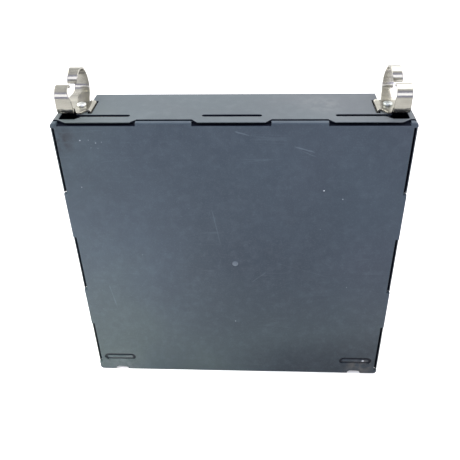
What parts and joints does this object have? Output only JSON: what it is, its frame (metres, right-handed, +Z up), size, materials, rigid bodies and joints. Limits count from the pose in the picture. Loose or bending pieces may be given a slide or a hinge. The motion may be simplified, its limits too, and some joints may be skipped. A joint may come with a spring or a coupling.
{
  "type": "prismatic battery cell",
  "caption": "Flat square battery cell in a snap-together moulded case, holding sealed pouch cells, with spring-clip terminals riveted on the top face.",
  "frame": {"origin": "centre of the bounding box's underside, on the surface the case stands on", "axes": "+X to the right seen from the front, +Y from the front cover to the back wall, +Z up through the terminals"},
  "size_m": [0.23, 0.0486, 0.2456],
  "materials": {
    "case_plastic": "fine moulded texture, dark slate",
    "cover_plastic": "fine moulded texture, dark slate",
    "clip_strip": "nickel-plated spring strip, brushed",
    "rivet_metal": "nickel-plated, domed",
    "washer_metal": "plain washer",
    "copper_bar": null,
    "aluminium_bar": "rolled strip",
    "pouch_film": "aluminium laminate film",
    "electrode_pack": "stacked coated foils and separators",
    "nickelled_tab": "nickel-plated copper strip",
    "aluminium_tab": "plain strip",
    "foam": "closed-cell foam",
    "spacer_sheet": "insulating sheet"
  },
  "bodies": {
    "case": {"bottom_cushion": "foam", "cell_1_electrode_pack": "electrode_pack", "cell_1_pouch_front": "pouch_film", "cell_1_pouch_rear": "pouch_film", "cell_1_tab_negative": "nickelled_tab", "cell_1_tab_positive": "aluminium_tab", "cell_2_electrode_pack": "electrode_pack", "cell_2_pouch_front": "pouch_film", "cell_2_pouch_rear": "pouch_film", "cell_2_tab_negative": "nickelled_tab", "cell_2_tab_positive": "aluminium_tab", "cell_3_electrode_pack": "electrode_pack", "cell_3_pouch_front": "pouch_film", "cell_3_pouch_rear": "pouch_film", "cell_3_tab_negative": "nickelled_tab", "cell_3_tab_positive": "aluminium_tab", "cell_4_electrode_pack": "electrode_pack", "cell_4_pouch_front": "pouch_film", "cell_4_pouch_rear": "pouch_film", "cell_4_tab_negative": "nickelled_tab", "cell_4_tab_positive": "aluminium_tab", "cell_spacer_1": "spacer_sheet", "cell_spacer_2": "spacer_sheet", "cell_spacer_3": "spacer_sheet", "collector_bar_negative": "copper_bar", "collector_bar_positive": "aluminium_bar", "foam_pad_front": "foam", "foam_pad_rear": "foam", "rear_tray": "case_plastic", "rivet_washer_negative": "washer_metal", "rivet_washer_positive": "washer_metal", "terminal_clip_negative": "clip_strip", "terminal_clip_positive": "clip_strip", "terminal_rivet_negative": "rivet_metal", "terminal_rivet_positive": "rivet_metal"},
    "cover": {"front_cover": "cover_plastic"}
  },
  "joints": [
    {"name": "cover_slide", "type": "slide", "parent": "case", "child": "cover", "axis": [0, -1, 0], "range_m": [0, 0.06]}
  ]
}
